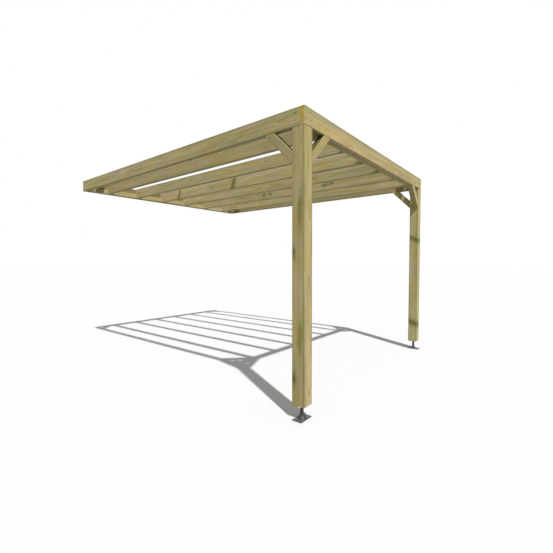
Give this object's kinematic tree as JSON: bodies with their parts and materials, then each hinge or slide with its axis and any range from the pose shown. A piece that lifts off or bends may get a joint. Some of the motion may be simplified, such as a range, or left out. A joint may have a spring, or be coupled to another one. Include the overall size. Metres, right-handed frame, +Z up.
{
  "type": "lean-to pergola",
  "caption": "Open timber lean-to pergola: roof frame of rafters carried by a wall ledger and two braced front posts on steel feet.",
  "frame": {"origin": "middle of the ledger's back face, at mid-length and mid-height, on the wall plane", "axes": "+Z up, +Y into the wall, +X to the right seen from the front; the frame reaches 3.9 m towards -Y"},
  "size_m": [3.02, 3.92, 2.45],
  "materials": {
    "post_timber": "planed softwood, pressure treated green-tan",
    "beam_timber": "planed softwood, pressure treated green-tan",
    "rafter_timber": "planed softwood, pressure treated green-tan",
    "brace_timber": "planed softwood, pressure treated green-tan",
    "steel": "dull dark galvanised steel"
  },
  "bodies": {
    "root": {"post_left": "post_timber", "post_right": "post_timber", "foot_plate_left": "steel", "foot_plate_right": "steel", "foot_stem_left": "steel", "foot_stem_right": "steel", "foot_head_left": "steel", "foot_head_right": "steel", "front_beam": "beam_timber", "front_batten": "rafter_timber", "wall_ledger": "beam_timber", "ledger_batten": "rafter_timber", "side_beam_left": "beam_timber", "side_beam_right": "beam_timber", "rafter_1": "rafter_timber", "rafter_2": "rafter_timber", "rafter_3": "rafter_timber", "rafter_4": "rafter_timber", "rafter_5": "rafter_timber", "rafter_6": "rafter_timber", "side_knee_brace_left": "brace_timber", "side_knee_brace_right": "brace_timber", "front_knee_brace_left": "brace_timber", "front_knee_brace_right": "brace_timber", "front_corner_brace_left": "brace_timber", "front_corner_brace_right": "brace_timber", "wall_corner_brace_left": "brace_timber", "wall_corner_brace_right": "brace_timber"}
  },
  "joints": []
}
